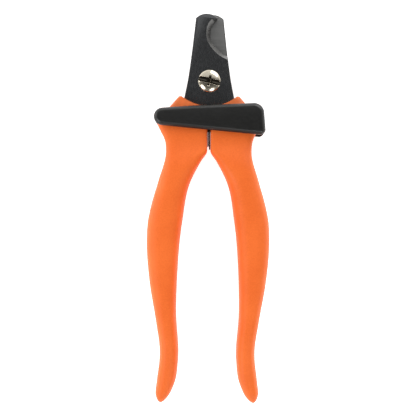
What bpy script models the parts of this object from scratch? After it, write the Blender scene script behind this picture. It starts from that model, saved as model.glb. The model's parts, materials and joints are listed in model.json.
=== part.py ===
"""Pet nail trimmer of the plier type: two moulded grips, two crossing blades, a leaf spring and a lock.

It lies on its back with the jaws closed: +Z is the front face, +Y points to the blade tips and +X to
the right grip. The origin is the middle of the underside of the bounding box. Lengths are in metres.

Each half is a blade with its tang moulded into the grip on the other side of the pivot. Both halves
are drawn right-handed, with the pivot axis at x = y = 0, and the left half is then turned half round
about the tool's long axis.
"""

import math

import bmesh
import bpy
import numpy as np

MM = 0.001

# Overall sizes
BLADE_REACH = 28.7 * MM  # pivot axis to the blade tips
HANDLE_REACH = 135.9 * MM  # pivot axis to the toes of the grips
GRIP_DEPTH = 16.0 * MM  # front to back, over the bellies
HEAD_DEPTH = 11.0 * MM  # front to back, between the lock's arms
OPENING = math.radians(18.0)  # how far the jaws open

# Clearances
GAP = 0.3 * MM  # between pieces that lie on or in one another
SWING_GAP = 0.4 * MM  # beside a piece that turns past another

# Blades
BLADE_THICK = 2.4 * MM
BLADE_SHOULDER = 7.3 * MM  # the blade's widest point, this far below the pivot
SHOULDER_HALF_WIDTH = 10.65 * MM
SIDE_CURVE = ((0.024, 9.1), (0.408, 7.6))  # share of the way up to the tip, half width in mm
TIP_HALF_WIDTH = 5.9 * MM
TIP_RADIUS = 6.5 * MM
TIP_SHIFT = 1.3 * MM  # the round of the tip leans this far away from the notch
HUB_ARC = 18.0 * MM  # radius of the blade's rounded foot
NOTCH_CURVE = (  # share of the way up to the tip, place of the front blade's cutting edge in mm
    (0.33, 12.0),
    (0.37, 8.6),
    (0.4, 6.7),
    (0.44, 4.8),
    (0.5, 3.0),
    (0.565, 1.45),
    (0.64, 0.5),
    (0.75, 0.35),
    (0.82, 0.85),
    (0.925, 3.2),
    (1.115, 3.2),
)
NOTCH_LAP = 1.2 * MM  # the edges pass each other by this much when the jaws are closed
GRIND = 1.7 * MM  # width of the ground slope along the cutting edge
TANG_WIDTH = 8.6 * MM
TANG_END_WIDTH = 6.0 * MM
TANG_REACH = 60.0 * MM  # pivot axis to the end of the tang, inside the grip
TANG_START = 14.0 * MM

# Grips: distance below the pivot and half span of the closed tool, in mm
SLIT_HALF = 0.7 * MM
SHOULDER_TOP = 6.35 * MM
SHOULDER_HALF_SPAN = 12.85 * MM
SHOULDER_SLOPE = 0.86
WAIST = 29.5 * MM
FLARE_CURVE = ((10.0, 26.0), (18.0, 22.1), (21.4, 20.4), (24.8, 18.75))
LEFT_CORNER_SOFTNESS = 0.5 * MM
RIGHT_CORNER_SOFTNESS = 2.0 * MM  # rounder, so that it can turn out of the lock
OUTER_CURVE = (  # share of the way from the waist to the toe, half span in mm
    (0.0, 18.15),
    (0.12, 21.3),
    (0.2, 23.8),
    (0.28, 25.6),
    (0.36, 26.0),
    (0.52, 24.7),
    (0.68, 21.8),
    (0.8, 20.1),
    (0.92, 21.35),
    (0.96, 21.85),
    (1.0, 21.85),
)
INNER_CURVE = (
    (0.04, 3.3),
    (0.12, 7.6),
    (0.28, 11.0),
    (0.52, 13.1),
    (0.64, 13.35),
    (0.84, 12.4),
    (0.92, 13.6),
    (0.96, 15.3),
    (1.0, 17.3),
)
BELLY_START = 23.2 * MM  # below the lock, the grip swells from the head's depth to its own
BELLY_FULL = 38.0 * MM
TAPER_START = 0.68  # share of the way to the toe where the grip begins to thin
TOE_DEPTH = 12.6 * MM
TOE_ROUND = 4.5 * MM
TOE_CLOSE = 0.985  # how nearly the toe's oval end closes to a point
CROWN_START = 12.5 * MM
CROWN_DEPTH = 8.6 * MM  # front to back at the top edge of the shoulders
TOP_ROUND = 1.2 * MM

# Pivot screw, washer and nut
SHANK_RADIUS = 2.5 * MM
HEAD_RADIUS = 4.7 * MM
HEAD_HEIGHT = 2.25 * MM
HEAD_RIM = 0.8 * MM
SLOT_WIDTH = 2.0 * MM
SLOT_DEEP = 1.4 * MM
SLOT_ANGLE = math.radians(-13.0)
CROSS_LENGTH = 5.2 * MM
CROSS_WIDTH = 0.9 * MM
CROSS_DEEP = 1.8 * MM
WASHER_THICK = 0.5 * MM
WASHER_RADIUS = 5.0 * MM
NUT_THICK = 1.8 * MM
NUT_ACROSS_FLATS = 8.0 * MM

# Return spring
STRIP = 0.5 * MM
SPRING_WIDTH = 7.0 * MM
BULB_RADIUS = 1.9 * MM
BULB_DROP = 15.0 * MM  # pivot axis to the middle of the bulb
LEG_OFFSET = 0.35 * MM  # middle of each leg from the tool's centre line
LEFT_LEG_END = 27.5 * MM
RIGHT_LEG_END = 28.8 * MM

# Lock
PIN_RADIUS = 1.5 * MM
PIN_OUT = 19.35 * MM  # pin's place, left of the pivot axis and below it
PIN_DROP = 15.7 * MM
BOSS_RADIUS = 3.3 * MM
ARM_THICK = 2.2 * MM
SOCKET_SKIN = 0.6 * MM  # arm left over the pin's end
ARM_END_RADIUS = 3.95 * MM
CATCH_TOP = (18.9, -13.65, 4.2)  # centre and radius of the lock's two right corners, in mm
CATCH_FOOT = (21.6, -20.6, 2.1)
ARM_SWELL = (-6.9, -14.75, 4.0)  # the same, of the round that lifts the top edge near the pin
CATCH_GAP = 0.9 * MM  # from the right shoulder to the lock's end wall
WALL_TOP = 12.0 * MM  # end wall's stretch, below the pivot axis
WALL_FOOT = 21.6 * MM

# Facets
ROUND_STEPS = 36
CORNER_STEPS = 4

MID = GRIP_DEPTH / 2
PIVOT_Y = (HANDLE_REACH - BLADE_REACH) / 2
FRONT_BLADE_LOW = MID + GAP / 2
FRONT_BLADE_TOP = FRONT_BLADE_LOW + BLADE_THICK
FAR = 60 * MM  # reach of cutters past the work


def clear_scene():
    for obj in list(bpy.data.objects):
        bpy.data.objects.remove(obj, do_unlink=True)


def finish(name, colour, roughness, metallic):
    material = bpy.data.materials.new(name)
    material.use_nodes = True
    shader = material.node_tree.nodes["Principled BSDF"]
    shader.inputs["Base Color"].default_value = (*colour, 1.0)
    shader.inputs["Roughness"].default_value = roughness
    shader.inputs["Metallic"].default_value = metallic
    return material


def axis_empty(name, place, parent=None):
    empty = bpy.data.objects.new(name, None)
    empty.empty_display_size = 10 * MM
    empty.location = place
    empty.parent = parent
    bpy.context.scene.collection.objects.link(empty)
    return empty


def solid(name, points, faces, parent=None, material=None):
    """One mesh object with its faces pointing out. Without a material it is a cutter."""
    mesh = bpy.data.meshes.new(name)
    mesh.from_pydata([tuple(point) for point in points], [], faces)
    shell = bmesh.new()
    shell.from_mesh(mesh)
    bmesh.ops.recalc_face_normals(shell, faces=shell.faces)
    shell.to_mesh(mesh)
    shell.free()
    mesh.shade_smooth()
    mesh.set_sharp_from_angle(angle=math.radians(35))
    obj = bpy.data.objects.new(name, mesh)
    obj.parent = parent
    bpy.context.scene.collection.objects.link(obj)
    if material:
        mesh.materials.append(material)
    else:
        obj.hide_render = True
        obj.display_type = "WIRE"
    return obj


def skin(rings, closed=False):
    """Points and faces over a stack of rings, with end caps, or joined end to end when closed."""
    count, size = len(rings), len(rings[0])
    points = np.concatenate(rings)
    faces = []
    for ring in range(count if closed else count - 1):
        here, there = ring * size, (ring + 1) % count * size
        for i in range(size):
            j = (i + 1) % size
            faces.append((here + i, here + j, there + j, there + i))
    if not closed:
        faces.append(tuple(range(size)))
        faces.append(tuple(range((count - 1) * size, count * size)))
    return points, faces


def level(outline, z):
    """A plan outline lifted to a height."""
    return np.column_stack([outline, np.full(len(outline), z)])


def prism(name, low_outline, low, high_outline, high, parent=None, material=None):
    points, faces = skin([level(low_outline, low), level(high_outline, high)])
    return solid(name, points, faces, parent, material)


def circle(radius, centre=(0.0, 0.0), steps=ROUND_STEPS):
    turn = np.linspace(0, 2 * math.pi, steps, endpoint=False)
    return np.column_stack([centre[0] + radius * np.cos(turn), centre[1] + radius * np.sin(turn)])


def box_outline(left, right, bottom, top):
    return np.array([(left, bottom), (right, bottom), (right, top), (left, top)])


def turned(name, profile, parent, material, closed=False, steps=ROUND_STEPS):
    """A profile of (radius, height) points turned about the upright axis."""
    rings = [level(circle(radius, steps=steps), height) for radius, height in profile]
    points, faces = skin(rings, closed)
    return solid(name, points, faces, parent, material)


def combine(obj, tool, operation="DIFFERENCE"):
    """A Boolean that stays on the object, with its tool carried by the same parent."""
    tool.parent = obj.parent
    boolean = obj.modifiers.new(tool.name, "BOOLEAN")
    boolean.operation = operation
    boolean.object = tool
    boolean.solver = "EXACT"


def through(points, at):
    """Smooth curve through (distance, value) points, read at the given distances."""
    distance, value = np.array(points).T
    slope = np.gradient(value, distance)
    i = np.clip(np.searchsorted(distance, at) - 1, 0, len(distance) - 2)
    step = distance[i + 1] - distance[i]
    t = np.clip((at - distance[i]) / step, 0, 1)
    return (
        value[i] * (2 * t**3 - 3 * t**2 + 1)
        + value[i + 1] * (3 * t**2 - 2 * t**3)
        + slope[i] * step * (t**3 - 2 * t**2 + t)
        + slope[i + 1] * step * (t**3 - t**2)
    )


def ramp(at, start, end):
    """0 before start, 1 after end, easing between."""
    t = np.clip((at - start) / (end - start), 0, 1)
    return t * t * (3 - 2 * t)


def offset(outline, distance):
    """The closed outline moved outwards, with its corners kept sharp."""
    ahead = np.roll(outline, -1, axis=0) - outline
    ahead /= np.linalg.norm(ahead, axis=1)[:, None]
    normal = np.column_stack([ahead[:, 1], -ahead[:, 0]])
    before = np.roll(normal, 1, axis=0)
    middle = normal + before
    middle /= np.linalg.norm(middle, axis=1)[:, None]
    reach = np.minimum(1 / np.sum(middle * normal, axis=1), 2.0)
    return outline + middle * (distance * reach)[:, None]


def half_round(outline_or_points):
    """Turns plan or space points half round about the tool's long axis."""
    turned_points = np.array(outline_or_points, dtype=float)
    turned_points[:, 0] *= -1
    if turned_points.shape[1] == 3:
        turned_points[:, 2] = GRIP_DEPTH - turned_points[:, 2]
    return turned_points


def turn_half_round(obj):
    """Turns a finished mesh half round about the tool's long axis."""
    mesh = obj.data
    points = np.empty(len(mesh.vertices) * 3)
    mesh.vertices.foreach_get("co", points)
    mesh.vertices.foreach_set("co", half_round(points.reshape(-1, 3)).ravel())
    mesh.update()


# ---------------------------------------------------------------- shared curves


def below_waist(curve):
    """Curve points given as shares of the way to the toe, as distances below the pivot."""
    return [(WAIST + share * (HANDLE_REACH - WAIST), x * MM) for share, x in curve]


def grip_outer(distance, soft=RIGHT_CORNER_SOFTNESS):
    """Half span of the grip's outer side, with a softened corner where the shoulder meets the flare."""
    flare = [(d * MM, x * MM) for d, x in FLARE_CURVE] + below_waist(OUTER_CURVE)
    side = through(flare, distance)
    shoulder = SHOULDER_HALF_SPAN + SHOULDER_SLOPE * (distance - SHOULDER_TOP)
    return -soft * np.log(np.exp(-side / soft) + np.exp(-shoulder / soft))


def grip_inner(distance):
    """Half span of the grip's inner side: the straight slit, then the bow of the handle."""
    bow = [(WAIST - 4 * MM, SLIT_HALF), (WAIST, SLIT_HALF)] + below_waist(INNER_CURVE)
    return np.where(distance < WAIST, SLIT_HALF, through(bow, distance))


def foot_arc(radius, start, end, steps=14):
    """Points along the blade's rounded foot, by the angle from straight down."""
    middle = HUB_ARC - BLADE_SHOULDER - foot_drop()
    turn = np.linspace(start, end, steps)
    return np.column_stack([radius * np.sin(turn), middle - radius * np.cos(turn)])


def foot_turn():
    """Angle from straight down to the blade's shoulder, about the foot arc's centre."""
    return math.asin(SHOULDER_HALF_WIDTH / HUB_ARC)


def foot_drop():
    """How far the foot reaches below the blade's shoulders."""
    return HUB_ARC * (1 - math.cos(foot_turn()))


# ---------------------------------------------------------------- blades


def up_the_blade(curve):
    """Curve points given as shares of the way to the tip, as heights above the pivot."""
    return [(share * BLADE_REACH, x * MM) for share, x in curve]


def blade_outline():
    """Blade, foot and tang in plan, counterclockwise, before the notch is cut."""
    along = np.linspace(TANG_REACH, TANG_START, 12)
    middle = (grip_outer(along) + grip_inner(along)) / 2
    taper = ramp(along, TANG_START, TANG_REACH)
    half = (TANG_WIDTH + (TANG_END_WIDTH - TANG_WIDTH) * taper) / 2
    tang_right = np.column_stack([middle + half, -along])
    tang_left = np.column_stack([middle - half, -along])[::-1]

    corner = math.asin((TIP_HALF_WIDTH - TIP_SHIFT) / TIP_RADIUS)
    turn = np.linspace(math.radians(65), -corner, 13)
    tip = TIP_RADIUS * np.column_stack([np.sin(turn), np.cos(turn)])
    tip += (-TIP_SHIFT, BLADE_REACH - TIP_RADIUS)
    side = [(-BLADE_SHOULDER, SHOULDER_HALF_WIDTH), *up_the_blade(SIDE_CURVE), (tip[-1, 1], TIP_HALF_WIDTH)]
    height, width = np.array(side).T
    right_edge = np.column_stack([width, height])[:-1]
    left_edge = np.column_stack([-width, height])[-2::-1]
    foot = foot_arc(HUB_ARC, -foot_turn(), math.radians(6))[1:]
    return np.concatenate([tang_right, right_edge, tip, left_edge, foot, tang_left])


def notch_outline(lap):
    """Everything right of the cutting edge, counterclockwise."""
    curve = up_the_blade(NOTCH_CURVE)
    low, high = curve[0][0], curve[-1][0]
    at = np.linspace(high, low, 26)
    edge = np.column_stack([through(curve, at) + lap, at])
    return np.concatenate([edge, [(FAR, low), (FAR, high)]])


def blade(name, lap, parent, material, other_way):
    """One blade with its tang. Its cutting edge lies in the face that meets the other blade."""
    plate = blade_outline()
    obj = prism(name, plate, FRONT_BLADE_LOW, plate, FRONT_BLADE_TOP, parent, material)
    sharp = notch_outline(lap)
    ground = offset(sharp, GRIND)
    past = 0.5  # the cutter runs past both faces by this share of the blade's thickness
    notch = prism(
        name + "_notch",
        sharp - (ground - sharp) * past,
        FRONT_BLADE_LOW - BLADE_THICK * past,
        ground + (ground - sharp) * past,
        FRONT_BLADE_TOP + BLADE_THICK * past,
    )
    hole = circle(SHANK_RADIUS + GAP)
    bore = prism(name + "_bore", hole, -FAR, hole, FAR)
    for piece in (obj, notch, bore):
        if other_way:
            turn_half_round(piece)
    combine(obj, notch)
    combine(obj, bore)
    return obj


# ---------------------------------------------------------------- grips


def grip_half_depth(distance):
    """Half the grip's depth: shoulder crown, head, belly and thinner toe."""
    head, belly, toe = HEAD_DEPTH / 2, GRIP_DEPTH / 2, TOE_DEPTH / 2
    taper_from = WAIST + TAPER_START * (HANDLE_REACH - WAIST)
    half = head + (belly - head) * ramp(distance, BELLY_START, BELLY_FULL)
    half -= (belly - toe) * ramp(distance, taper_from, HANDLE_REACH)
    return half - (head - CROWN_DEPTH / 2) * (1 - ramp(distance, SHOULDER_TOP, CROWN_START))


def grip_section(distance, soft):
    """One rounded section across the grip, at a distance below the pivot."""
    outer, inner = float(grip_outer(distance, soft)), float(grip_inner(distance))
    half = float(grip_half_depth(distance))
    into_top = max(0.0, SHOULDER_TOP + TOP_ROUND - distance)
    half -= TOP_ROUND - math.sqrt(TOP_ROUND**2 - into_top**2)
    into_toe = max(0.0, distance - HANDLE_REACH + TOE_ROUND) / TOE_ROUND
    close = math.sqrt(1 - (TOE_CLOSE * into_toe) ** 2)
    middle, width = (outer + inner) / 2, (outer - inner) * close
    half *= 0.35 + 0.65 * close

    grown = float(ramp(distance, WAIST, BELLY_FULL))
    full = 0.42 * width  # at the belly each rounded edge takes this much of the width
    outer_edge = min(2.6 * MM * (1 - grown) + full * grown, full)
    inner_edge = min(0.6 * MM * (1 - grown) + full * grown, full)
    edge_depth = min((2.0 * (1 - grown) + 5.0 * grown) * MM, 0.62 * half)
    turn = np.linspace(0, math.pi / 2, CORNER_STEPS + 1)
    rise = half - edge_depth + edge_depth * np.sin(turn)
    right = middle + width / 2 - outer_edge + outer_edge * np.cos(turn)
    left = middle - width / 2 + inner_edge - inner_edge * np.cos(turn)
    x = np.concatenate([right, left[::-1], left, right[::-1]])
    z = MID + np.concatenate([rise, rise[::-1], -rise, -rise[::-1]])
    return np.column_stack([x, np.full(len(x), -distance), z])


def grip_stations():
    """Distances below the pivot of the sections: close together where the shape turns fast."""
    top = SHOULDER_TOP + TOP_ROUND * (1 - np.cos(np.linspace(0.15, 0.5, 4) * math.pi))
    head = np.linspace(SHOULDER_TOP + TOP_ROUND, WAIST, 20)[1:]
    handle = np.linspace(WAIST, HANDLE_REACH - TOE_ROUND, 34)[1:]
    toe = HANDLE_REACH - TOE_ROUND * (1 - np.sin(np.linspace(0.1, 0.5, 7) * math.pi))
    return np.concatenate([top, head, handle, toe])


def rim_outline():
    """Room in the grip for the other blade's foot as it turns, to the reach of its shoulder."""
    shoulder = math.hypot(SHOULDER_HALF_WIDTH, BLADE_SHOULDER)
    swept = foot_arc(HUB_ARC + SWING_GAP, -math.radians(4), foot_turn())
    cosine, sine = math.cos(-OPENING), math.sin(-OPENING)
    swept = swept @ np.array([(cosine, sine), (-sine, cosine)])
    start = -math.atan2(BLADE_SHOULDER, SHOULDER_HALF_WIDTH) - OPENING
    turn = np.linspace(start, 0, 12)[1:]
    reach = shoulder + SWING_GAP
    circle_part = np.column_stack([reach * np.cos(turn), reach * np.sin(turn)])
    return np.concatenate([swept, circle_part, [(reach, FAR), (-reach, FAR), (-reach, swept[0, 1])]])


def grip(name, parent, material, holds_pin):
    """A moulded grip with the pocket of its own tang and the slot that the other blade's foot turns in.

    It is drawn as the right grip. The one that holds the lock's pin is the left, turned half round.
    """
    soft = LEFT_CORNER_SOFTNESS if holds_pin else RIGHT_CORNER_SOFTNESS
    points, faces = skin([grip_section(distance, soft) for distance in grip_stations()])
    obj = solid(name, points, faces, parent, material)
    tools = []

    def take_away(label, outline, low, high):
        tools.append(prism(f"{name}_{label}", outline, low, outline, high))

    if holds_pin:
        low, high = MID - HEAD_DEPTH / 2, MID + HEAD_DEPTH / 2
        disc = circle(BOSS_RADIUS, (PIN_OUT, -PIN_DROP))
        boss = prism(f"{name}_boss", disc, low, disc, high)
        turn_half_round(boss)
    middle = HUB_ARC - BLADE_SHOULDER - foot_drop()
    take_away("foot", circle(HUB_ARC, (0, middle), 96), -FAR, FAR)
    take_away("rebate", rim_outline(), GRIP_DEPTH - FRONT_BLADE_TOP - GAP, FRONT_BLADE_LOW)
    take_away("pocket", offset(blade_outline(), GAP), FRONT_BLADE_LOW - GAP, FRONT_BLADE_TOP + GAP)
    take_away("bulb", circle(BULB_RADIUS + SWING_GAP, (0, -BULB_DROP)), -FAR, FAR)
    leg_room = LEG_OFFSET + STRIP / 2 + GAP
    leg_foot = max(LEFT_LEG_END, RIGHT_LEG_END) + GAP
    seat = box_outline(-leg_room, leg_room, -leg_foot, -BULB_DROP)
    take_away("leg", seat, MID - SPRING_WIDTH / 2 - GAP, MID + SPRING_WIDTH / 2 + GAP)
    if holds_pin:
        take_away("pin", circle(PIN_RADIUS + GAP, (PIN_OUT, -PIN_DROP), 24), -FAR, FAR)
        turn_half_round(obj)
        combine(obj, boss, "UNION")
    for tool in tools:
        if holds_pin:
            turn_half_round(tool)
        combine(obj, tool)
    return obj


# ---------------------------------------------------------------- pivot


def pivot_screw(parent, material):
    """Pan-head screw through both blades. The head has a slot across it and a cross recess."""
    under_head = FRONT_BLADE_TOP + GAP
    low = GRIP_DEPTH - FRONT_BLADE_TOP - 2 * GAP - WASHER_THICK - NUT_THICK
    turn = np.linspace(0, 1, 7)
    dome = [
        (HEAD_RADIUS * math.cos(t), under_head + HEAD_RIM + (HEAD_HEIGHT - HEAD_RIM) * math.sin(t))
        for t in turn * math.radians(86)
    ]
    profile = [(SHANK_RADIUS, low), (SHANK_RADIUS, under_head), (HEAD_RADIUS, under_head), *dome]
    obj = turned("pivot_screw", profile, parent, material)
    top = under_head + HEAD_HEIGHT
    cosine, sine = math.cos(SLOT_ANGLE), math.sin(SLOT_ANGLE)
    turn_slot = np.array([(cosine, sine), (-sine, cosine)])
    bars = (
        ("slot", HEAD_RADIUS * 2, SLOT_WIDTH, SLOT_DEEP),
        ("cross", CROSS_WIDTH, CROSS_LENGTH, CROSS_DEEP),
    )
    for label, length, width, deep in bars:
        bar = box_outline(-length / 2, length / 2, -width / 2, width / 2) @ turn_slot
        combine(obj, prism("pivot_screw_" + label, bar, top - deep, bar, FAR))
    return obj


def pivot_washer(parent, material):
    """Thin washer between the rear blade and the nut."""
    high = GRIP_DEPTH - FRONT_BLADE_TOP - GAP
    inner, outer = SHANK_RADIUS + GAP, WASHER_RADIUS
    profile = [(inner, high - WASHER_THICK), (outer, high - WASHER_THICK), (outer, high), (inner, high)]
    return turned("pivot_washer", profile, parent, material, closed=True)


def pivot_nut(parent, material):
    """Thin hexagon nut on the screw's end."""
    high = GRIP_DEPTH - FRONT_BLADE_TOP - 2 * GAP - WASHER_THICK
    hexagon = circle(NUT_ACROSS_FLATS / math.sqrt(3), steps=6)
    obj = prism("pivot_nut", hexagon, high - NUT_THICK, hexagon, high, parent, material)
    hole = circle(SHANK_RADIUS + GAP)
    combine(obj, prism("pivot_nut_thread", hole, -FAR, hole, FAR))
    return obj


# ---------------------------------------------------------------- spring


def return_spring(parent, material):
    """One strip of spring steel bent into a keyhole: a bulb at the top and a leg on each grip."""
    radius = BULB_RADIUS - STRIP / 2
    open_turn = math.asin(LEG_OFFSET / radius)
    turn = np.linspace(-math.pi / 2 - open_turn, -2.5 * math.pi + open_turn, 27)
    bulb = np.column_stack([radius * np.cos(turn), -BULB_DROP + radius * np.sin(turn)])
    middle = np.concatenate([[(-LEG_OFFSET, -LEFT_LEG_END)], bulb, [(LEG_OFFSET, -RIGHT_LEG_END)]])
    ahead = np.gradient(middle, axis=0)
    ahead[0] = middle[1] - middle[0]
    ahead[1] = ahead[0]
    ahead[-1] = middle[-1] - middle[-2]
    ahead[-2] = ahead[-1]
    ahead /= np.linalg.norm(ahead, axis=1)[:, None]
    side = np.column_stack([-ahead[:, 1], ahead[:, 0]]) * STRIP / 2
    strip = np.concatenate([middle + side, (middle - side)[::-1]])
    low, high = MID - SPRING_WIDTH / 2, MID + SPRING_WIDTH / 2
    return prism("return_spring", strip, low, strip, high, parent, material)


# ---------------------------------------------------------------- lock


def belt(discs, steps=7):
    """Outline of a band stretched round discs, given counterclockwise as (x, y, radius)."""
    outline = []
    count = len(discs)
    leave = []
    for i, (x, y, radius) in enumerate(discs):
        next_x, next_y, next_radius = discs[(i + 1) % count]
        span = math.hypot(next_x - x, next_y - y)
        heading = math.atan2(next_y - y, next_x - x)
        leave.append(heading - math.acos((radius - next_radius) / span))
    for i, (x, y, radius) in enumerate(discs):
        start, end = leave[i - 1], leave[i]
        end += 2 * math.pi * math.ceil((start - end) / (2 * math.pi))
        turn = np.linspace(start, end, steps)
        outline.append(np.column_stack([x + radius * np.cos(turn), y + radius * np.sin(turn)]))
    return np.concatenate(outline)


def lock_loop(parent, material):
    """Moulded loop: a front and a back arm on the pin, joined by a wall past the right shoulder.

    It is drawn about its pin. The wall's inner face is an arc about the pin, so it swings clear.
    """
    pin = np.array([-PIN_OUT, -PIN_DROP])
    rounds = (CATCH_FOOT, CATCH_TOP, ARM_SWELL)
    corners = [(x * MM + PIN_OUT, y * MM + PIN_DROP, r * MM) for x, y, r in rounds]
    plan = belt([(0.0, 0.0, ARM_END_RADIUS), *corners])
    obj = prism("lock_loop", plan, 0.0, plan, GRIP_DEPTH, parent, material)

    shoulder = np.linspace(SHOULDER_TOP, WAIST, 60)
    reach = np.hypot(grip_outer(shoulder) - pin[0], -shoulder - pin[1])
    inner = float(reach.max()) + CATCH_GAP
    top, foot = PIN_DROP - WALL_TOP, PIN_DROP - WALL_FOOT
    turn = np.linspace(math.asin(foot / inner), math.asin(top / inner), 8)
    face = np.column_stack([inner * np.cos(turn), inner * np.sin(turn)])
    room = np.concatenate([[(-FAR, foot - FAR), (face[0, 0], foot - FAR)], face])
    room = np.concatenate([room, [(FAR, top), (FAR, FAR), (-FAR, FAR)]])
    below_wall = box_outline(0.0, FAR, foot - FAR, foot)
    combine(obj, prism("lock_room", room, ARM_THICK, room, GRIP_DEPTH - ARM_THICK))
    combine(obj, prism("lock_wall_foot", below_wall, ARM_THICK, below_wall, GRIP_DEPTH - ARM_THICK))
    socket = circle(PIN_RADIUS + GAP, steps=24)
    combine(obj, prism("lock_socket", socket, SOCKET_SKIN, socket, GRIP_DEPTH - SOCKET_SKIN))
    return obj


def lock_pin(parent, material):
    """Steel pin through the left grip's boss, held between the arms' blind sockets."""
    low = SOCKET_SKIN + GAP
    profile = [(PIN_RADIUS, low), (PIN_RADIUS, GRIP_DEPTH - low)]
    return turned("lock_pin", profile, parent, material, steps=24)


# ---------------------------------------------------------------- assembly

clear_scene()
orange = finish("moulded_orange", (0.90, 0.165, 0.03), 0.55, 0.0)
black = finish("moulded_black", (0.02, 0.02, 0.019), 0.5, 0.0)
dark_steel = finish("dark_steel", (0.10, 0.10, 0.105), 0.35, 1.0)
plated = finish("plated_steel", (0.75, 0.72, 0.66), 0.2, 1.0)
spring_steel = finish("spring_steel", (0.25, 0.24, 0.23), 0.35, 1.0)

left_half = axis_empty("left_half_axis", (0, PIVOT_Y, 0))
right_half = axis_empty("right_half_axis", (0, PIVOT_Y, 0))
lock = axis_empty("lock_axis", (-PIN_OUT, -PIN_DROP, 0), left_half)

grip("left_grip", left_half, orange, holds_pin=True)
grip("right_grip", right_half, orange, holds_pin=False)
blade("rear_blade", NOTCH_LAP, left_half, dark_steel, other_way=True)
blade("front_blade", 0.0, right_half, dark_steel, other_way=False)
pivot_screw(left_half, plated)
pivot_washer(left_half, plated)
pivot_nut(left_half, plated)
return_spring(left_half, spring_steel)
lock_loop(lock, black)
pin = lock_pin(left_half, plated)
pin.location = (-PIN_OUT, -PIN_DROP, 0)
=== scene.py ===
"""Pet nail trimmer of the plier type, closed and locked, lying on its back. Lengths are in metres.

+Z is the front face, +Y points to the blade tips and +X to the right grip. Each half of the tool is a
blade whose tang runs into the grip on the other side of the pivot, and the left half is the right half
turned half round about the tool's long axis.
"""

import json
import math

import bmesh
import bpy
import numpy as np
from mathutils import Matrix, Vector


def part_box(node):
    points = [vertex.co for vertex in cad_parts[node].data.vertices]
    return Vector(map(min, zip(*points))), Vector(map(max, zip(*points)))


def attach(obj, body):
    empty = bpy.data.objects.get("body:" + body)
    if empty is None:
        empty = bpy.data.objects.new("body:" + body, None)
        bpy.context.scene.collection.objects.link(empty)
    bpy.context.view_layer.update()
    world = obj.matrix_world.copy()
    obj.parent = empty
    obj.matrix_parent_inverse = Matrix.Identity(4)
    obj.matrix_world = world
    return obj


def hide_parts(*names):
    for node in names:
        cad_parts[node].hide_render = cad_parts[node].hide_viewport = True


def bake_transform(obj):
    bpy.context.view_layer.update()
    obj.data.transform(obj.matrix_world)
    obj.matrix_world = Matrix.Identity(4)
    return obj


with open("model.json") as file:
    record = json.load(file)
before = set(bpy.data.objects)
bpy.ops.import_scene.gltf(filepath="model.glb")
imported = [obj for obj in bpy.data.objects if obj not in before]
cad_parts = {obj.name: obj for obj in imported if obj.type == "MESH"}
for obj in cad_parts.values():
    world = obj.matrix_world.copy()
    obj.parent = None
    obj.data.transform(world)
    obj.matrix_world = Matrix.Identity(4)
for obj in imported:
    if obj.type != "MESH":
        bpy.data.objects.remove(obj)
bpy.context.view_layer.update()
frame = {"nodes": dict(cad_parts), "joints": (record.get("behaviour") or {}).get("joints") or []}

MM = 0.001

# ------------------------------------------------------------------ front and rear blade
# Two flat plates of hardened steel, stamped and ground dark, that cross at the pivot screw. Each has a
# crescent notch ground to a cutting edge in the face that meets the other blade, and a tang below.

jaw_axis = np.array(frame["joints"][0]["pos_m"])
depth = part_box("left_grip")[1][2]
blade_low, blade_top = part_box("front_blade")[0][2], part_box("front_blade")[1][2]
blade_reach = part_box("front_blade")[1][1] - jaw_axis[1]
handle_reach = jaw_axis[1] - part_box("left_grip")[0][1]

waist = 29.5 * MM  # distances here run down the tool from the pivot axis
shoulder_top = 6.35 * MM
tang_start = 14.0 * MM
tang_end = jaw_axis[1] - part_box("front_blade")[0][1]
foot_radius = 18.0 * MM
shoulder_drop, shoulder_half = 7.3 * MM, 10.65 * MM
side_curve = ((0.024, 9.1), (0.408, 7.6))  # share of the way up to the tip, half width in mm
tip_half, tip_radius, tip_shift = 5.9 * MM, 6.5 * MM, 1.3 * MM
notch_curve = (  # share of the way up to the tip, place of the front blade's cutting edge in mm
    (0.33, 12.0),
    (0.37, 8.6),
    (0.4, 6.7),
    (0.44, 4.8),
    (0.5, 3.0),
    (0.565, 1.45),
    (0.64, 0.5),
    (0.75, 0.35),
    (0.82, 0.85),
    (0.925, 3.2),
    (1.115, 3.2),
)
notch_lap = 1.2 * MM
grind_width = 1.7 * MM
plate_rim = 0.36 * MM
pivot_bore = 2.8 * MM  # radius of the hole in each blade, the washer and the nut
far_out = 60 * MM  # past every edge, for the outlines of what is cut away


def smooth_curve(points, at):
    """Cubic through (distance, value) points, with each slope taken from the points beside it."""
    distance, value = np.array(points).T
    slope = np.gradient(value, distance)
    i = np.clip(np.searchsorted(distance, at) - 1, 0, len(distance) - 2)
    step = distance[i + 1] - distance[i]
    t = np.clip((at - distance[i]) / step, 0, 1)
    rise = value[i] + (value[i + 1] - value[i]) * (3 * t**2 - 2 * t**3)
    return rise + slope[i] * step * (t**3 - 2 * t**2 + t) + slope[i + 1] * step * (t**3 - t**2)


def ease(at, start, end):
    """0 before start and 1 after end, with a smooth step between."""
    t = np.clip((at - start) / (end - start), 0, 1)
    return t * t * (3 - 2 * t)


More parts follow.
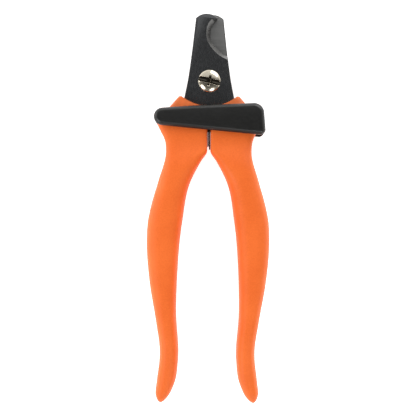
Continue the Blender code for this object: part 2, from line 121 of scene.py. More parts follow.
def grip_outer(distance, softness=2.0 * MM):
    """Half span of a grip's outer side: the softened lesser of the shoulder's line and the side's curve."""
    handle = ((0.0, 18.15), (0.12, 21.3), (0.2, 23.8), (0.28, 25.6), (0.36, 26.0), (0.52, 24.7))
    handle += ((0.68, 21.8), (0.8, 20.1), (0.92, 21.35), (0.96, 21.85), (1.0, 21.85))
    side = [(10.0 * MM, 26.0 * MM), (18.0 * MM, 22.1 * MM), (21.4 * MM, 20.4 * MM), (24.8 * MM, 18.75 * MM)]
    side += [(waist + share * (handle_reach - waist), x * MM) for share, x in handle]
    shoulder = 12.85 * MM + 0.86 * (distance - shoulder_top)
    bent = np.exp(-smooth_curve(side, distance) / softness) + np.exp(-shoulder / softness)
    return -softness * np.log(bent)


def grip_inner(distance):
    """Half span of a grip's inner side: the straight slit down to the waist, then the handle's bow."""
    bow = ((0.0, 0.7), (0.04, 3.3), (0.12, 7.6), (0.28, 11.0), (0.52, 13.1), (0.64, 13.35))
    bow += ((0.84, 12.4), (0.92, 13.6), (0.96, 15.3), (1.0, 17.3))
    side = [(waist - 4 * MM, 0.7 * MM)]
    side += [(waist + share * (handle_reach - waist), x * MM) for share, x in bow]
    return np.where(distance < waist, 0.7 * MM, smooth_curve(side, distance))


def up_the_blade(curve):
    """Curve points given as shares of the way to the tip, as heights above the pivot axis."""
    return [(share * blade_reach, x * MM) for share, x in curve]


foot_turn = math.asin(shoulder_half / foot_radius)  # from straight down to the blade's shoulder
foot_centre = foot_radius * math.cos(foot_turn) - shoulder_drop


def blade_outline():
    """Plan of a right-handed blade with its tang, counterclockwise, about the pivot axis.

    Tang on the grip's middle line, nearly straight sides, a round tip that leans away from the notch,
    and a foot that is a wide arc.
    """
    along = np.linspace(tang_end, tang_start, 40)
    middle = (grip_outer(along) + grip_inner(along)) / 2
    half = 4.3 * MM - 1.3 * MM * ease(along, tang_start, tang_end)
    corner = math.asin((tip_half - tip_shift) / tip_radius)
    turn = np.linspace(math.radians(65), -corner, 48)
    tip = tip_radius * np.column_stack([np.sin(turn), np.cos(turn)]) + (-tip_shift, blade_reach - tip_radius)
    side = [(-shoulder_drop, shoulder_half), *up_the_blade(side_curve), (tip[-1, 1], tip_half)]
    right = np.linspace(-shoulder_drop, tip[0, 1], 36)
    left = np.linspace(tip[-1, 1], -shoulder_drop, 36)[1:]
    turn = np.linspace(-foot_turn, 0.1, 40)[1:]
    foot = np.column_stack([foot_radius * np.sin(turn), foot_centre - foot_radius * np.cos(turn)])
    return np.concatenate([
        np.column_stack([middle + half, -along]),
        np.column_stack([smooth_curve(side, right), right]),
        tip,
        np.column_stack([-smooth_curve(side, left), left]),
        foot,
        np.column_stack([middle - half, -along])[::-1],
    ])


def drawn_out(outline, distance):
    """The closed outline moved outwards along its corners' bisectors."""
    ahead = np.roll(outline, -1, axis=0) - outline
    ahead /= np.linalg.norm(ahead, axis=1)[:, None]
    normal = np.column_stack([ahead[:, 1], -ahead[:, 0]])
    bisector = normal + np.roll(normal, 1, axis=0)
    bisector /= np.linalg.norm(bisector, axis=1)[:, None]
    reach = np.minimum(1 / np.sum(bisector * normal, axis=1), 2.0)
    return outline + bisector * (distance * reach)[:, None]


def stack(outlines, heights):
    """A grid of points, one row for each plan outline at its height."""
    count = len(outlines[0])
    return np.array([np.column_stack([o, np.full(count, z)]) for o, z in zip(outlines, heights)])


def grid_mesh(name, grid, ring=False):
    """A mesh object over a grid whose columns join up. Its ends are capped, or join in a ring."""
    rows, columns = grid.shape[:2]
    row = np.arange(rows if ring else rows - 1)[:, None]
    here = row * columns + np.arange(columns)
    beside = row * columns + (np.arange(columns) + 1) % columns
    up = (row + 1) % rows * columns - row * columns
    faces = np.stack([here, beside, beside + up, here + up], axis=-1).reshape(-1, 4).tolist()
    if not ring:
        faces.append(list(range(columns))[::-1])
        faces.append(list(range((rows - 1) * columns, rows * columns)))
    mesh = bpy.data.meshes.new(name)
    mesh.from_pydata(grid.reshape(-1, 3), [], faces)
    shell = bmesh.new()
    shell.from_mesh(mesh)
    bmesh.ops.recalc_face_normals(shell, faces=shell.faces)
    shell.to_mesh(mesh)
    shell.free()
    obj = bpy.data.objects.new(name, mesh)
    bpy.context.scene.collection.objects.link(obj)
    return obj


def rounded_plate(name, outline, low, high, rim, steps=4):
    """The outline carried from low to high. At each face it draws in along a quarter circle of radius rim."""
    turn = np.linspace(0, math.pi / 2, steps)
    inset = rim * (1 - np.sin(turn))
    rise = rim * (1 - np.cos(turn))
    outlines = [drawn_out(outline, -d) for d in np.concatenate([inset, inset[::-1]])]
    return grid_mesh(name, stack(outlines, np.concatenate([low + rise, (high - rise)[::-1]])))


def ring_outline(radius, centre=(0.0, 0.0), steps=96):
    """Points at equal angles on the circle about the centre, counterclockwise."""
    turn = np.linspace(0, 2 * math.pi, steps, endpoint=False)
    return np.column_stack([centre[0] + radius * np.cos(turn), centre[1] + radius * np.sin(turn)])


def cut(obj, tool, operation="DIFFERENCE"):
    """Applies a Boolean with the tool, then removes the tool. Faces keep the material they came with."""
    boolean = obj.modifiers.new("cut", "BOOLEAN")
    boolean.operation = operation
    boolean.object = tool
    boolean.solver = "EXACT"
    boolean.material_mode = "TRANSFER"
    shape = obj.evaluated_get(bpy.context.evaluated_depsgraph_get())
    result = bpy.data.meshes.new_from_object(shape)
    obj.modifiers.clear()
    obj.data = result
    bpy.data.objects.remove(tool)


def half_round(obj):
    """Turns a mesh half round about the tool's long axis, which stands half the depth up."""
    points = np.empty(len(obj.data.vertices) * 3)
    obj.data.vertices.foreach_get("co", points)
    points = points.reshape(-1, 3) * (-1, 1, -1) + (0, 0, depth)
    obj.data.vertices.foreach_set("co", points.ravel())


def settle(obj, body, slot, *nodes, at=jaw_axis, smooth=35):
    """Puts a piece drawn about an upright axis into its place, shades it and ties it to its CAD body."""
    points = np.empty(len(obj.data.vertices) * 3)
    obj.data.vertices.foreach_get("co", points)
    points = points.reshape(-1, 3) + (at[0], at[1], 0)
    obj.data.vertices.foreach_set("co", points.ravel())
    obj.data.shade_smooth()
    obj.data.set_sharp_from_angle(angle=math.radians(smooth))
    obj.data.update()
    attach(obj, body)
    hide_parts(*nodes)


def shader_group(name, inputs, outputs):
    """A new shader node group with named sockets, and its input and output nodes."""
    group = bpy.data.node_groups.new(name, "ShaderNodeTree")
    for label, kind, value in inputs:
        socket = group.interface.new_socket(label, in_out="INPUT", socket_type="NodeSocket" + kind)
        socket.default_value = value
    for label, kind in outputs:
        group.interface.new_socket(label, in_out="OUTPUT", socket_type="NodeSocket" + kind)
    return group, group.nodes.new("NodeGroupInput"), group.nodes.new("NodeGroupOutput")


def node(tree, kind, links=(), **settings):
    """A node with its settings, and (socket, value or output) pairs put on its inputs."""
    made = tree.nodes.new("ShaderNode" + kind)
    for key, value in settings.items():
        setattr(made, key, value)
    for socket, value in links:
        if isinstance(value, bpy.types.NodeSocket):
            tree.links.new(value, made.inputs[socket])
        else:
            made.inputs[socket].default_value = value
    return made


def grain_group():
    """Fine noise in two sizes: colour mottle and height, from the piece's own coordinates."""
    inputs = (("Scale", "Float", 900.0), ("Stretch", "Vector", (1, 1, 1)), ("Detail", "Float", 3.0))
    group, given, out = shader_group("grain", inputs, (("Fine", "Float"), ("Broad", "Float")))
    place = node(group, "TexCoord")
    stretched = node(group, "Mapping", [
        ("Vector", place.outputs["Object"]),
        ("Scale", given.outputs["Stretch"]),
    ])
    fine = node(group, "TexNoise", [
        ("Vector", stretched.outputs[0]),
        ("Scale", given.outputs["Scale"]),
        ("Detail", given.outputs["Detail"]),
    ])
    coarser = node(group, "Math", [(0, given.outputs["Scale"]), (1, 0.06)], operation="MULTIPLY")
    broad = node(group, "TexNoise", [
        ("Vector", stretched.outputs[0]),
        ("Scale", coarser.outputs[0]),
        ("Detail", 2.0),
    ])
    group.links.new(fine.outputs["Fac"], out.inputs["Fine"])
    group.links.new(broad.outputs["Fac"], out.inputs["Broad"])
    return group


grain = grain_group()


bump_height = 0.05 * MM


def finish(name, dark, light, rough, metallic, scale, stretch, bump):
    """A Principled material whose colour goes from dark to light by the sum of broad and fine grain.

    Its roughness goes between the two given values by the fine grain, which also gives the bump.
    """
    material = bpy.data.materials.new(name)
    material.use_nodes = True
    tree = material.node_tree
    shader = tree.nodes["Principled BSDF"]
    pattern = node(tree, "Group", node_tree=grain)
    pattern.inputs["Scale"].default_value = scale
    pattern.inputs["Stretch"].default_value = stretch
    mixed = node(tree, "Math", [(0, pattern.outputs["Broad"]), (1, pattern.outputs["Fine"])], operation="ADD")
    spread = node(tree, "MapRange", [("Value", mixed.outputs[0]), (1, 0.7), (2, 1.3)])
    colour = node(tree, "Mix", data_type="RGBA")
    colour.inputs[6].default_value = (*dark, 1)
    colour.inputs[7].default_value = (*light, 1)
    tree.links.new(spread.outputs[0], colour.inputs[0])
    tree.links.new(colour.outputs[2], shader.inputs["Base Color"])
    roughness = node(tree, "MapRange", [
        ("Value", pattern.outputs["Fine"]), (1, 0.3), (2, 0.7), (3, rough[0]), (4, rough[1]),
    ])
    tree.links.new(roughness.outputs[0], shader.inputs["Roughness"])
    height = node(tree, "Bump", [
        ("Height", pattern.outputs["Fine"]),
        ("Strength", bump),
        ("Distance", bump_height),
    ])
    tree.links.new(height.outputs[0], shader.inputs["Normal"])
    shader.inputs["Metallic"].default_value = metallic
    return material


def add_tint(material, tint, mask):
    """Mixes the tint over the material's colour where the mask, an output in its tree, is above 0."""
    tree = material.node_tree
    base = tree.nodes["Principled BSDF"].inputs["Base Color"]
    mixed = node(tree, "Mix", data_type="RGBA")
    mixed.inputs[7].default_value = (*tint, 1)
    tree.links.new(mask, mixed.inputs[0])
    tree.links.new(base.links[0].from_socket, mixed.inputs[6])
    tree.links.new(mixed.outputs[2], base)


blade_steel = finish(
    "dark polished steel", dark=(0.152, 0.157, 0.162), light=(0.184, 0.189, 0.196),
    rough=(0.23, 0.3), metallic=1.0, scale=1900, stretch=(1, 0.3, 1), bump=0.02,
)
mating_steel = finish(
    "ground mating face", dark=(0.2, 0.2, 0.195), light=(0.24, 0.24, 0.235),
    rough=(0.42, 0.5), metallic=1.0, scale=2600, stretch=(0.08, 1, 1), bump=0.06,
)
edge_steel = finish(
    "ground edge", dark=(0.12, 0.118, 0.114), light=(0.17, 0.168, 0.164),
    rough=(0.24, 0.34), metallic=1.0, scale=3000, stretch=(0.3, 1, 1), bump=0.06,
)


def blade(name, lap):
    """The plate less its notch and its pivot hole, right-handed about the pivot axis.

    The notch's wall leans back from the cutting edge by the ground width, which fades out at the beak.
    The steel is polished, but ground on the face that meets the other blade and on the rounded rims.
    """
    obj = rounded_plate(name, blade_outline(), blade_low, blade_top, plate_rim)
    for finish_of in (blade_steel, mating_steel, edge_steel):
        obj.data.materials.append(finish_of)
    curve = up_the_blade(notch_curve)
    low, high = curve[0][0], curve[-1][0]
    at = np.linspace(high, low, 120)
    edge = np.column_stack([smooth_curve(curve, at) + lap, at])
    sharp = np.concatenate([edge, [(far_out, low), (far_out, high)]])
    slope = drawn_out(sharp, grind_width) - sharp
    slope *= 1 - ease(sharp[:, 1], 0.87 * blade_reach, 0.93 * blade_reach)[:, None]
    thick = blade_top - blade_low
    past = 0.3
    outlines = [sharp - slope * past, sharp + slope * (1 + past)]
    notch = grid_mesh("notch", stack(outlines, [blade_low - thick * past, blade_top + thick * past]))
    notch.data.materials.append(edge_steel)
    cut(obj, notch)
    hole = ring_outline(pivot_bore)
    cut(obj, grid_mesh("hole", stack([hole, hole], [blade_low - thick, blade_top + thick])))
    facing = np.empty(len(obj.data.polygons) * 3)
    obj.data.polygons.foreach_get("normal", facing)
    chosen = np.empty(len(obj.data.polygons), np.int32)
    obj.data.polygons.foreach_get("material_index", chosen)
    up = facing.reshape(-1, 3)[:, 2]
    chosen[up < -0.99] = 1
    chosen[(np.abs(up) > 0.25) & (np.abs(up) < 0.97)] = 2
    obj.data.polygons.foreach_set("material_index", chosen)
    return obj


front_blade = blade("front_blade_plate", 0.0)
settle(front_blade, "right_half", "blade_steel", "front_blade", smooth=25)
rear_blade = blade("rear_blade_plate", notch_lap)
half_round(rear_blade)
settle(rear_blade, "left_half", "blade_steel", "rear_blade", smooth=25)

# ------------------------------------------------------------------ left and right grip
# Handles moulded onto the tangs in orange plastic with a fine pebbled skin. Each has a slot beside the
# pivot where the other half's blade turns, and the left one has a boss for the lock's pin.

swing_gap = 0.4 * MM
slot_gap = 0.3 * MM
top_softness = 2.0 * MM, 0.5 * MM  # how far the right and the left shoulder's corner is rounded off
pin_bore = 1.8 * MM  # radius of the hole for the lock's pin, in the left grip and in the lock
opening = math.radians(frame["joints"][0]["range_deg"][1])
lock_axis = np.array(frame["joints"][1]["pos_m"])
pin_out, pin_drop = jaw_axis[0] - lock_axis[0], jaw_axis[1] - lock_axis[1]
bulb_drop, bulb_room = 15 * MM, 2.3 * MM  # the spring's bulb: its place below the pivot and the room for it
seat_half, seat_end, seat_rise = 1.15 * MM, 29.1 * MM, 3.8 * MM  # the room for the spring's legs

orange = finish(
    "moulded orange", dark=(0.82, 0.136, 0.014), light=(0.91, 0.168, 0.023),
    rough=(0.46, 0.62), metallic=0.0, scale=1500, stretch=(1, 1, 1), bump=0.3,
)
orange.node_tree.nodes["Principled BSDF"].inputs["Specular IOR Level"].default_value = 0.35


def shoulder_shade(tree):
    """Mask of painted shade on the shoulders: 0 from 15 mm under the pivot, up to 0.75 at 9 mm, broken up by
    noise.
    """
    place = node(tree, "TexCoord")
    spot = node(tree, "SeparateXYZ", [("Vector", place.outputs["Object"])])
    nearness = node(tree, "MapRange", [
        ("Value", spot.outputs["Y"]),
        (1, jaw_axis[1] - 15 * MM), (2, jaw_axis[1] - 9 * MM), (3, 0.0), (4, 0.75),
    ])
    blotch = node(tree, "TexNoise", [
        ("Vector", place.outputs["Object"]),
        ("Scale", 420.0),
        ("Detail", 4.0),
    ])
    uneven = node(tree, "MapRange", [
        ("Value", blotch.outputs["Fac"]), (1, 0.3), (2, 0.65), (3, 0.45), (4, 1.0),
    ])
    shade_mask = node(tree, "Math", [(0, nearness.outputs[0]), (1, uneven.outputs[0])], operation="MULTIPLY")
    return shade_mask.outputs[0]


# Painted shade: the orange goes darker on the shoulders near the pivot.
add_tint(orange, (0.5, 0.125, 0.03), shoulder_shade(orange.node_tree))


def grip_body(softness):
    """Oval sections across the handle, from the top of the shoulder to the toe.

    Each is a superellipse: nearly square in the head, most of all on its inner side, where its power is
    high, and round at the belly.
    """
    top_round, toe_round = 1.3 * MM, 4.5 * MM
    top = shoulder_top + top_round * (1 - np.cos(np.linspace(0.06, 0.5, 8) * math.pi))
    rest = np.linspace(shoulder_top + top_round, handle_reach - toe_round, 190)[1:]
    toe = handle_reach - toe_round * (1 - np.sin(np.linspace(0, 0.5, 16)[1:] * math.pi))
    d = np.concatenate([top, rest, toe])
    outer, inner = grip_outer(d, softness), grip_inner(d)
    middle, width = (outer + inner) / 2, outer - inner
    half = 5.5 * MM + 2.5 * MM * ease(d, 23.2 * MM, 38 * MM)
    half -= 1.7 * MM * ease(d, waist + 0.68 * (handle_reach - waist), handle_reach)
    half -= 1.2 * MM * (1 - ease(d, shoulder_top, 12.5 * MM))
    into_top = np.clip(shoulder_top + top_round - d, 0, None)
    half -= top_round - np.sqrt(top_round**2 - into_top**2)
    close = np.sqrt(1 - (0.985 * np.clip((d - handle_reach) / toe_round + 1, 0, 1)) ** 2)
    turn = np.linspace(0, 2 * math.pi, 96, endpoint=False)
    cosine, sine = np.cos(turn), np.sin(turn)
    swell = 2.2 * ease(d, 26 * MM, 44 * MM)[:, None]
    inner_swell = swell + 9.0 * ease(d, 27 * MM, 33 * MM)[:, None]
    share = 2 / np.where(cosine > 0, 5.0 - swell, 14.0 - inner_swell)
    across = np.sign(cosine) * np.abs(cosine) ** share
    up = np.sign(sine) * np.abs(sine) ** share
    x = middle[:, None] + across * (width * close / 2)[:, None]
    z = depth / 2 + up * (half * (0.3 + 0.7 * close))[:, None]
    return np.stack([x, np.broadcast_to(-d[:, None], x.shape), z], axis=-1)


def slot_outline():
    """Plan of the slot: the other foot's arc turned by the opening, then the circle of its shoulder."""
    turn = np.linspace(-0.07, foot_turn, 40)
    swept = np.column_stack([np.sin(turn), -np.cos(turn)]) * (foot_radius + swing_gap) + (0, foot_centre)
    back = np.array([(math.cos(opening), -math.sin(opening)), (math.sin(opening), math.cos(opening))])
    swept = swept @ back
    turn = np.linspace(-math.atan2(shoulder_drop, shoulder_half) - opening, 0, 40)[1:]
    reach = math.hypot(shoulder_half, shoulder_drop) + swing_gap
    rim = reach * np.column_stack([np.cos(turn), np.sin(turn)])
    return np.concatenate([swept, rim, [(reach, 40 * MM), (-reach, 40 * MM), (-reach, swept[0, 1])]])


def block(name, outline, low, high):
    """The plan outline carried straight up from low to high."""
    return grid_mesh(name, stack([outline, outline], [low, high]))


def box_plan(left, right, bottom, top):
    """The four corners of a rectangle, counterclockwise."""
    return np.array([(left, bottom), (right, bottom), (right, top), (left, top)])


def grip(name, softness, holds_pin):
    """A right-handed body less the room for its blade's foot, the slot of the other and the spring's room.

    The one that holds the pin has a boss with a bore, and is turned half round into the left one.
    """
    obj = grid_mesh(name, grip_body(softness))
    below, above = -10 * MM, depth + 10 * MM
    cut(obj, block("foot", ring_outline(foot_radius, (0, foot_centre), 240), below, above))
    cut(obj, block("slot", slot_outline(), depth - blade_top - slot_gap, blade_low))
    cut(obj, block("bulb", ring_outline(bulb_room, (0, -bulb_drop), 64), below, above))
    seat = box_plan(-seat_half, seat_half, -seat_end, -bulb_drop)
    cut(obj, block("seat", seat, depth / 2 - seat_rise, depth / 2 + seat_rise))
    if holds_pin:
        boss_inset = 2.5 * MM
        boss = ring_outline(3.3 * MM, (pin_out, -pin_drop), 96)
        tower = rounded_plate("boss", boss, boss_inset, depth - boss_inset, 0.5 * MM)
        cut(obj, tower, "UNION")
        cut(obj, block("bore", ring_outline(pin_bore, (pin_out, -pin_drop), 48), below, above))
        half_round(obj)
    obj.data.materials.clear()
    obj.data.materials.append(orange)
    return obj


right_grip = grip("right_grip_moulding", top_softness[0], False)
settle(right_grip, "right_half", "orange_plastic", "right_grip", smooth=40)
left_grip = grip("left_grip_moulding", top_softness[1], True)
settle(left_grip, "left_half", "orange_plastic", "left_grip", smooth=40)

# ------------------------------------------------------------------ pivot screw, washer and nut
# A nickel-plated pan-head screw with a slot and a cross recess goes through both blades. A thin washer
# and a thin hexagon nut hold it at the back.

under_head = blade_top + 0.3 * MM
head_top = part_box("pivot_screw")[1][2]
screw_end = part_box("pivot_screw")[0][2]
head_radius = 4.7 * MM
slot_turn = math.radians(-13)
slot_half, slot_deep = 1.0 * MM, 1.4 * MM
cross_reach = 2.7 * MM
shank_radius = 2.5 * MM

nickel = finish(
    "bright nickel", dark=(0.67, 0.605, 0.48), light=(0.74, 0.675, 0.55),
    rough=(0.12, 0.2), metallic=1.0, scale=900, stretch=(1, 1, 1), bump=0.05,
)
# Painted shade: a copy of the nickel that goes near black by the recess_shade attribute, in the slot and the
# cross.
screw_nickel = nickel.copy()
screw_nickel.name = "nickel with painted shade in the recess"
recess_shade_node = node(screw_nickel.node_tree, "Attribute", attribute_name="recess_shade")
recess_shade_amount = node(screw_nickel.node_tree, "Math", [(0, recess_shade_node.outputs["Fac"]), (1, 0.93)], operation="MULTIPLY")
add_tint(screw_nickel, (0.05, 0.04, 0.028), recess_shade_amount.outputs[0])


def groove(across, half_width, wall):
    """1 in the groove, 0 beside it, with sloped walls."""
    return 1 - ease(np.abs(across), half_width - wall, half_width + wall)


def screw_head():
    """Rings from the middle of the dome out to its rim, back under it and down the shank.

    The dome is a rounded crown. The slot is cut to a level floor, and the cross slopes up to its ends.
    Also gives each point's painted shade: full in the cross and on the slot's walls, less along the middle of
    the slot's floor.
    """
    turn = np.linspace(0, 2 * math.pi, 288, endpoint=False)
    share = np.linspace(0.004, 1, 140)
    r = head_radius * share
    rim = 0.75 * MM
    crown = (head_top - under_head - rim) * (1 - share**2.2) ** 0.7
    dome = under_head + rim + np.repeat(crown[:, None], len(turn), axis=1)
    along = r[:, None] * np.cos(turn - slot_turn)
    across = r[:, None] * np.sin(turn - slot_turn)
    slot_floor = np.minimum(dome, head_top - slot_deep)
    slot = groove(across, slot_half, 0.14 * MM)
    arm = groove(along, 0.45 * MM, 0.12 * MM)
    cross_floor = head_top - 1.7 * MM + 1.6 * MM * ease(np.abs(across), 0.7 * MM, cross_reach)
    cut_dome = dome + (slot_floor - dome) * slot
    cut_dome += np.minimum(cross_floor - cut_dome, 0) * arm
    # Painted shade: a point is darker the deeper it sits under the uncut dome, and lighter along the middle
    # of the slot's floor.
    shade_mask = slot * groove(across + 0.05 * MM, 0.22 * MM, 0.16 * MM) * ease(np.abs(along), 0.9 * MM, 1.6 * MM)
    recess_shade = np.clip((dome - cut_dome) / (0.4 * MM), 0, 1) * (1 - 0.8 * shade_mask)
    top = np.stack([r[:, None] * np.cos(turn), r[:, None] * np.sin(turn), cut_dome], axis=-1)
    fillet, chamfer = 0.25 * MM, 0.4 * MM
    profile = [(head_radius, under_head + 0.45 * MM)]
    for t in np.linspace(0, math.pi / 2, 6)[1:]:
        profile.append((head_radius - fillet * (1 - math.cos(t)), under_head + fillet * (1 - math.sin(t))))
    profile += [(shank_radius, under_head), (shank_radius, screw_end + chamfer)]
    profile += [(shank_radius - chamfer, screw_end)]
    rings = [ring_outline(radius, steps=len(turn)) for radius, _ in profile]
    grid = np.concatenate([top, stack(rings, [z for _, z in profile])])
    recess_shade = np.concatenate([recess_shade.ravel(), np.zeros(len(turn) * len(profile))])
    return grid, recess_shade


screw_grid, screw_recess_shade = screw_head()
# The painted shade of the slot and the cross is kept on the screw's points.
pivot_screw = grid_mesh("pivot_screw_head_and_shank", screw_grid)
pivot_screw.data.attributes.new("recess_shade", "FLOAT", "POINT").data.foreach_set("value", screw_recess_shade)
pivot_screw.data.materials.append(screw_nickel)
settle(pivot_screw, "left_half", "plated_steel", "pivot_screw", smooth=50)


def turned_ring(name, profile, steps=96):
    """A closed profile of (radius, height) points carried round the upright axis."""
    turn = np.linspace(0, 2 * math.pi, steps, endpoint=False)[:, None]
    radius, height = np.array(profile).T
    level = np.broadcast_to(height, (steps, len(height)))
    grid = np.stack([radius * np.cos(turn), radius * np.sin(turn), level], axis=-1)
    return grid_mesh(name, grid, ring=True)


washer_low, washer_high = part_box("pivot_washer")[0][2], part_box("pivot_washer")[1][2]
washer_radius, washer_edge = 5 * MM, 0.12 * MM
washer_profile = [
    (pivot_bore, washer_low),
    (washer_radius - washer_edge, washer_low),
    (washer_radius, washer_low + washer_edge),
    (washer_radius, washer_high - washer_edge),
    (washer_radius - washer_edge, washer_high),
    (pivot_bore, washer_high),
]
pivot_washer = turned_ring("pivot_washer_disc", washer_profile)
pivot_washer.data.materials.append(nickel)
settle(pivot_washer, "left_half", "plated_steel", "pivot_washer")


def nut_grid():
    """A hexagon's radius over the turn, with a cone that takes off its corners at both faces."""
    low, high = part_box("pivot_nut")[0][2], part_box("pivot_nut")[1][2]
    turn = np.linspace(0, 2 * math.pi, 144, endpoint=False)
    flat, face_radius, countersink = 4.0 * MM, 4.05 * MM, 0.3 * MM
    hexagon = flat / np.cos((turn + math.pi / 6) % (math.pi / 3) - math.pi / 6)
    drop = np.clip(hexagon - face_radius, 0, None) * 0.55
    level = np.ones_like(turn)
    rows = [
        (pivot_bore * level, low + countersink * level),
        ((pivot_bore + countersink) * level, low * level),
        (np.minimum(hexagon, face_radius), low * level),
        (hexagon, low + drop),
        (hexagon, high - drop),
        (np.minimum(hexagon, face_radius), high * level),
        ((pivot_bore + countersink) * level, high * level),
        (pivot_bore * level, high - countersink * level),
    ]
    grid = [np.stack([r * np.cos(turn), r * np.sin(turn), z], axis=-1) for r, z in rows]
    return np.stack(grid, axis=1)


pivot_nut = grid_mesh("pivot_nut_hexagon", nut_grid(), ring=True)
pivot_nut.data.materials.append(nickel)
settle(pivot_nut, "left_half", "plated_steel", "pivot_nut")

# ------------------------------------------------------------------ return spring
# One strip of spring steel, bent into a keyhole: a round bulb under the lock and a leg against each
# grip's inner face. It pushes the grips apart when the lock is off.

# Partly painted shade: the strip's near-black brown stands for the steel's own dark finish and for the shade
# in the slit between the grips.
spring_steel = finish(
    "spring steel", dark=(0.05, 0.036, 0.03), light=(0.1, 0.078, 0.066),
    rough=(0.3, 0.45), metallic=1.0, scale=2000, stretch=(1, 0.2, 1), bump=0.1,
)


def spring_grid():
    """A strip section carried along the keyhole's middle line: left leg, bulb and right leg.

    strip is half the strip's thickness, and leg how far each leg's middle stands from the tool's axis.
    """
    radius, leg, strip, half_width = 1.65 * MM, 0.33 * MM, 0.3 * MM, 3.5 * MM
    left_end, right_end = 27.5 * MM, 28.8 * MM
    gape = math.asin(leg / radius)
    turn = np.linspace(-math.pi / 2 - gape, -2.5 * math.pi + gape, 80)
    bulb = np.column_stack([radius * np.cos(turn), radius * np.sin(turn) - bulb_drop])
    left = np.column_stack([np.full(30, -leg), np.linspace(-left_end, bulb[0, 1], 30)])[:-1]
    right = np.column_stack([np.full(30, leg), np.linspace(bulb[-1, 1], -right_end, 30)])[1:]
    line = np.concatenate([left, bulb, right])
    ahead = np.gradient(line, axis=0)
    ahead /= np.linalg.norm(ahead, axis=1)[:, None]
    side = np.column_stack([-ahead[:, 1], ahead[:, 0]])
    corner = 0.08 * MM
    section = [(strip, half_width - corner), (strip - corner, half_width), (corner - strip, half_width)]
    section += [(-strip, half_width - corner), (-strip, corner - half_width), (corner - strip, -half_width)]
    section += [(strip - corner, -half_width), (strip, corner - half_width)]
    out, up = np.array(section).T
    plan = line[:, None, :] + side[:, None, :] * out[None, :, None]
    z = np.broadcast_to(depth / 2 + up, plan.shape[:2])
    return np.concatenate([plan + jaw_axis[:2], z[..., None]], axis=-1)


return_spring = grid_mesh("return_spring_strip", spring_grid())
return_spring.data.materials.append(spring_steel)
return_spring.data.shade_smooth()
return_spring.data.set_sharp_from_angle(angle=math.radians(40))
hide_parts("return_spring")
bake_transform(return_spring)

# ------------------------------------------------------------------ lock loop and pin
# A black moulded loop: a front and a back arm that turn on a steel pin in the left grip, joined by a wall
# past the right shoulder. Shut, it holds both shoulders together against the spring.

black = finish(
    "moulded black", dark=(0.006, 0.006, 0.0055), light=(0.009, 0.009, 0.0085),
    rough=(0.34, 0.44), metallic=0.0, scale=1200, stretch=(1, 1, 1), bump=0.08,
)


def belt(discs, steps=24):
    """Plan of a band stretched round discs, given counterclockwise as (x, y, radius).

    Between two discs it follows their common outer tangent, whose bearing gives each arc its ends.
    """
    ends = []
    for (x, y, radius), (next_x, next_y, next_radius) in zip(discs, discs[1:] + discs[:1]):
        span = math.hypot(next_x - x, next_y - y)
        ends.append(math.atan2(next_y - y, next_x - x) - math.acos((radius - next_radius) / span))
    outline = []
    for i, (x, y, radius) in enumerate(discs):
        start, end = ends[i - 1], ends[i]
        end += 2 * math.pi * math.ceil((start - end) / (2 * math.pi))
        turn = np.linspace(start, end, steps)
        outline.append(np.column_stack([x + radius * np.cos(turn), y + radius * np.sin(turn)]))
    return np.concatenate(outline)


def lock_body():
    """The band round four discs. At its front and back faces a nearly flat bevel draws it in."""
    pin_end = (-0.15 * MM, 0.35 * MM, 3.7 * MM)
    foot = (21.6 * MM + pin_out, pin_drop - 20.6 * MM, 2.1 * MM)
    top = (18.9 * MM + pin_out, pin_drop - 13.65 * MM, 4.2 * MM)
    swell = (pin_out - 6.9 * MM, pin_drop - 14.75 * MM, 4.0 * MM)
    rim, flatness = 1.5 * MM, 1.4
    turn = np.linspace(0, math.pi / 2, 13)
    inset, rise = rim * (1 - np.sin(turn) ** flatness), rim * (1 - np.cos(turn) ** flatness)
    insets = np.concatenate([inset, inset[::-1]])
    heights = np.concatenate([rise, (depth - rise)[::-1]])
    discs = (pin_end, foot, top, swell)
    return stack([belt([(x, y, r - d) for x, y, r in discs]) for d in insets], heights)


lock_loop = grid_mesh("lock_loop_moulding", lock_body())
arm, arm_skin = 2.2 * MM, 0.6 * MM  # each arm's thickness, and what is left over the ends of the pin
shoulders = np.linspace(shoulder_top, waist, 80)
inner_face = np.hypot(grip_outer(shoulders) + pin_out, pin_drop - shoulders).max() + 0.9 * MM
wall_top, wall_foot = pin_drop - 12 * MM, pin_drop - 21.6 * MM
turn = np.linspace(math.asin(wall_foot / inner_face), math.asin(wall_top / inner_face), 40)
face = inner_face * np.column_stack([np.cos(turn), np.sin(turn)])
room = np.concatenate([
    [(-far_out, -far_out), (face[0, 0], -far_out)],
    face,
    [(far_out, wall_top), (far_out, far_out), (-far_out, far_out)],
])
cut(lock_loop, block("room", room, arm, depth - arm))
cut(lock_loop, block("under_wall", box_plan(0, far_out, -far_out, wall_foot), arm, depth - arm))
cut(lock_loop, block("socket", ring_outline(pin_bore, steps=48), arm_skin, depth - arm_skin))
lock_loop.data.materials.clear()
lock_loop.data.materials.append(black)
settle(lock_loop, "lock", "black_plastic", "lock_loop", at=lock_axis)

pin_steel = finish(
    "pin steel", dark=(0.5, 0.49, 0.47), light=(0.6, 0.59, 0.57),
    rough=(0.2, 0.3), metallic=1.0, scale=1500, stretch=(1, 1, 0.1), bump=0.05,
)
pin = frame["nodes"]["lock_pin"]
pin.data.materials.clear()
pin.data.materials.append(pin_steel)

# ------------------------------------------------------------------ floor, light and camera
# A pale, faintly glowing floor under four soft lights, inside a sky with a bright panel past the blade
# tips and a bright horizon. It is seen from straight above.

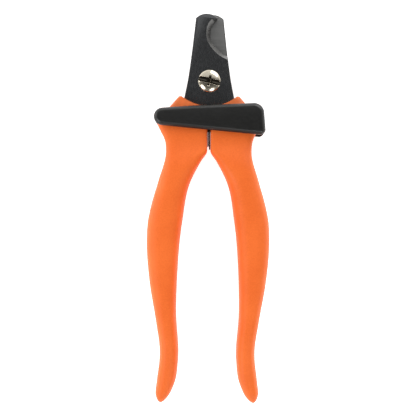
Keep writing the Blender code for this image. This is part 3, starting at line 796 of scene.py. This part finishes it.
floor_half, floor_drop = 3.0, 0.1 * MM
floor = bpy.data.objects.new("floor", bpy.data.meshes.new("floor"))
floor_plan = box_plan(-floor_half, floor_half, -floor_half, floor_half)
floor.data.from_pydata([(x, y, -floor_drop) for x, y in floor_plan], [], [(0, 1, 2, 3)])
bpy.context.scene.collection.objects.link(floor)
paper = finish(
    "pale paper", dark=(0.93, 0.93, 0.93), light=(0.95, 0.95, 0.95),
    rough=(0.8, 0.9), metallic=0.0, scale=300, stretch=(1, 1, 1), bump=0.0,
)
paper_shader = paper.node_tree.nodes["Principled BSDF"]
paper_shader.inputs["Emission Color"].default_value = (1, 1, 1, 1)
paper_shader.inputs["Emission Strength"].default_value = 0.75
floor.data.materials.append(paper)


def soft_light(name, azimuth, elevation, distance, size, watts):
    """A rectangular area light that faces the tool's middle, by its bearing from +X and its height angle."""
    light = bpy.data.lights.new(name, "AREA")
    light.shape = "RECTANGLE"
    light.size, light.size_y = size
    light.energy = watts
    lamp = bpy.data.objects.new(name, light)
    azimuth, elevation = math.radians(azimuth), math.radians(elevation)
    flat = distance * math.cos(elevation)
    lamp.location = (flat * math.cos(azimuth), flat * math.sin(azimuth), distance * math.sin(elevation))
    lamp.rotation_euler = (math.pi / 2 - elevation, 0, azimuth + math.pi / 2)
    bpy.context.scene.collection.objects.link(lamp)


soft_light("left", azimuth=162, elevation=22, distance=0.9, size=(0.2, 0.4), watts=1.7)
soft_light("near left", azimuth=215, elevation=40, distance=0.9, size=(0.38, 0.38), watts=3.2)
soft_light("near right", azimuth=291, elevation=42, distance=0.9, size=(0.34, 0.34), watts=2.5)
soft_light("far right", azimuth=62, elevation=24, distance=0.9, size=(0.6, 0.5), watts=3.8)

world = bpy.data.worlds.new("studio")
world.use_nodes = True
sky = world.node_tree
towards = node(sky, "TexCoord")
bearing = node(sky, "SeparateXYZ", [("Vector", towards.outputs["Generated"])])
tent = node(sky, "MapRange", [("Value", bearing.outputs["Z"]), (1, 0.45), (2, 0.95), (3, 0.3), (4, 0.11)])
panel = node(sky, "MapRange", [("Value", bearing.outputs["Y"]), (1, 0.29), (2, 0.42), (3, 0.0), (4, 0.55)])
horizon = node(sky, "MapRange", [("Value", bearing.outputs["Z"]), (1, 0.0), (2, 0.35), (3, 0.8), (4, 0.0)])
both = node(sky, "Math", [(0, tent.outputs[0]), (1, panel.outputs[0])], operation="ADD")
brightness = node(sky, "Math", [(0, both.outputs[0]), (1, horizon.outputs[0])], operation="ADD")
sky.links.new(brightness.outputs[0], sky.nodes["Background"].inputs["Color"])
bpy.context.scene.world = world
bpy.context.scene.view_settings.view_transform = "Standard"

camera = bpy.data.objects.new("camera", bpy.data.cameras.new("camera"))
camera.data.sensor_width = 36
camera.data.lens = 79.7
camera.location = (-0.14 * MM, 0, 0.4)
camera.rotation_euler = (0, 0, math.radians(0.466))
bpy.context.scene.collection.objects.link(camera)
bpy.context.scene.camera = camera
